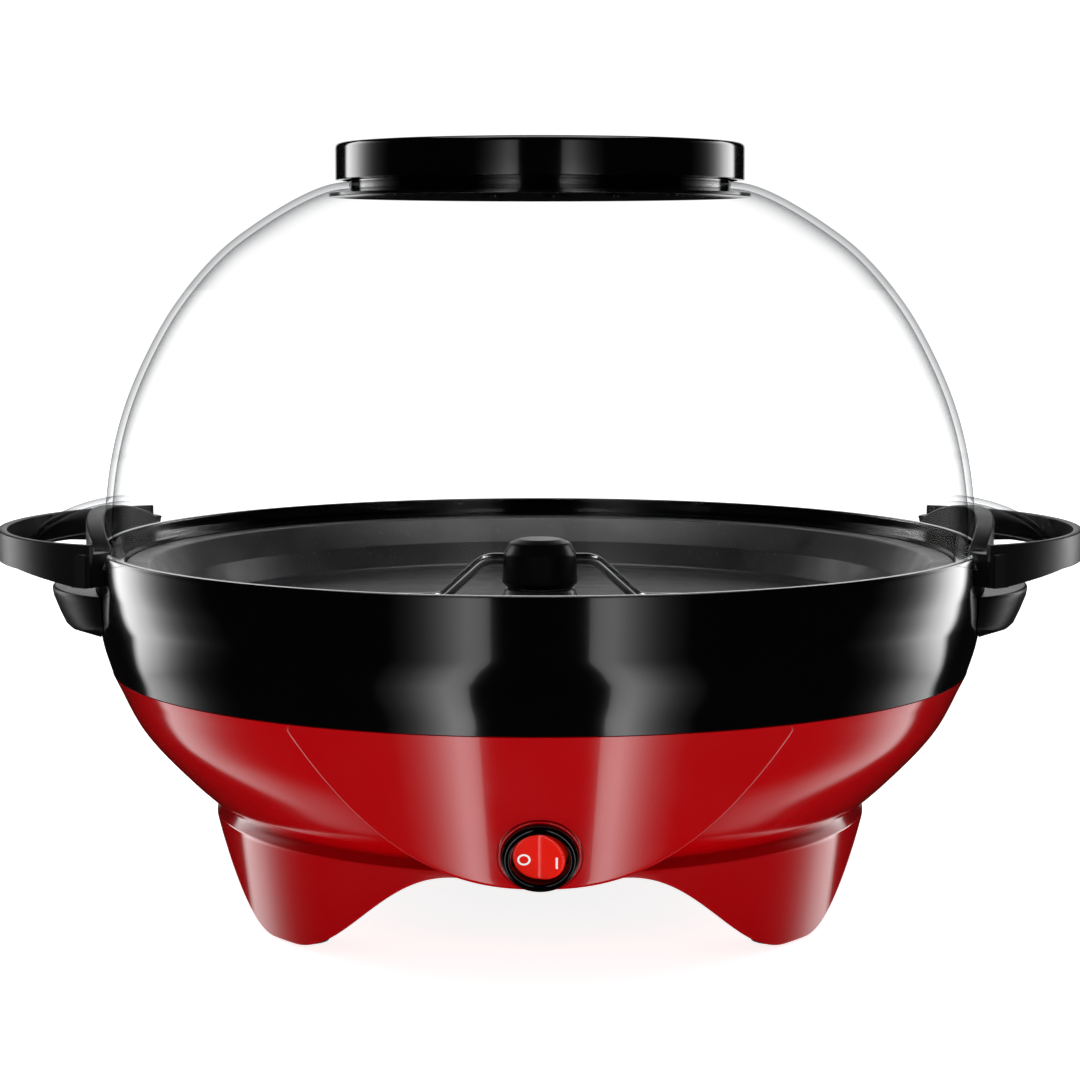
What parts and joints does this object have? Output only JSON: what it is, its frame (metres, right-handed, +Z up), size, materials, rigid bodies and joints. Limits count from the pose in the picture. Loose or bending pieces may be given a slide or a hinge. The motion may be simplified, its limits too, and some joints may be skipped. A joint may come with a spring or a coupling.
{
  "type": "popcorn maker",
  "caption": "Stirring popcorn maker with a heated plate on a legged base, a clear domed bowl with side loops, a butter well and a cap.",
  "frame": {"origin": "on the floor under the middle of the round base", "axes": "+Z up, -Y out of the front where the switch is, +X to the right seen from the front"},
  "size_m": [0.3684, 0.3008, 0.2579],
  "materials": {
    "red_gloss": "high gloss, deep red",
    "black_gloss": "high gloss black",
    "black_satin": "satin black",
    "clear": "clear, colourless, polished",
    "nonstick": "dark non-stick coating, fine satin",
    "steel": "plain steel",
    "brass": "turned",
    "copper": "wound enamelled wire",
    "rubber": "matte",
    "nylon": "natural nylon",
    "lens_red": "translucent red, glossy"
  },
  "bodies": {
    "base": {"base_shell": "red_gloss", "ring_housing": "black_gloss", "base_handle_right": "black_satin", "base_handle_left": "black_satin", "cord_gland": "black_satin", "bottom_cover": "black_satin", "switch_body": "black_gloss", "heating_plate": "nonstick", "shaft_bush": "nylon", "reflector_pan": "steel", "heating_element": "steel", "thermostat": "steel", "thermal_fuse": "steel", "motor_can": "steel", "motor_cover": "steel", "stator_coil": "copper", "rotor_axle": "steel", "idler_axle": "steel", "motor_bracket": "steel", "bracket_spacer_left": "nylon", "bracket_spacer_right": "nylon", "bracket_bolt_left": "steel", "bracket_bolt_right": "steel", "cover_screw_1": "steel", "foot_pad_1": "rubber", "cover_screw_2": "steel", "foot_pad_2": "rubber", "cover_screw_3": "steel", "foot_pad_3": "rubber", "cover_screw_4": "steel", "foot_pad_4": "rubber"},
    "rocker": {"rocker": "lens_red"},
    "rotor": {"rotor": "nylon"},
    "idler": {"idler_gears": "nylon"},
    "drive": {"drive_shaft": "brass"},
    "stirrer": {"stirrer_hub": "black_satin", "stirrer_rod": "steel"},
    "bowl": {"dome": "clear", "bowl_handle_right": "black_satin", "bowl_handle_left": "black_satin", "vent_disc": "black_gloss"},
    "lid": {"cap": "black_gloss"}
  },
  "joints": [
    {"name": "stir_spin", "type": "hinge", "parent": "base", "child": "drive", "pos_m": [0, 0, 0.09], "axis": [0, 0, 1], "continuous": true},
    {"name": "idler_spin", "type": "hinge", "parent": "base", "child": "idler", "pos_m": [0.01317, 0.00759, 0.07], "axis": [0, 0, 1], "continuous": true},
    {"name": "rotor_spin", "type": "hinge", "parent": "base", "child": "rotor", "pos_m": [0, 0.011, 0.06], "axis": [0, 0, 1], "continuous": true},
    {"name": "stirrer_lift", "type": "slide", "parent": "drive", "child": "stirrer", "axis": [0, 0, 1], "range_m": [0, 0.06]},
    {"name": "bowl_lift", "type": "slide", "parent": "base", "child": "bowl", "axis": [0, 0, 1], "range_m": [0, 0.15]},
    {"name": "cap_lift", "type": "slide", "parent": "bowl", "child": "lid", "axis": [0, 0, 1], "range_m": [0, 0.05]},
    {"name": "rocker_press", "type": "hinge", "parent": "base", "child": "rocker", "pos_m": [0, -0.13061, 0.04404], "axis": [0, -0.3401, 0.9404], "range_deg": [0, 20]}
  ],
  "couplings": [
    {"joint": "idler_spin", "follows": "stir_spin", "ratio": -2.8},
    {"joint": "rotor_spin", "follows": "stir_spin", "ratio": 6.72}
  ]
}
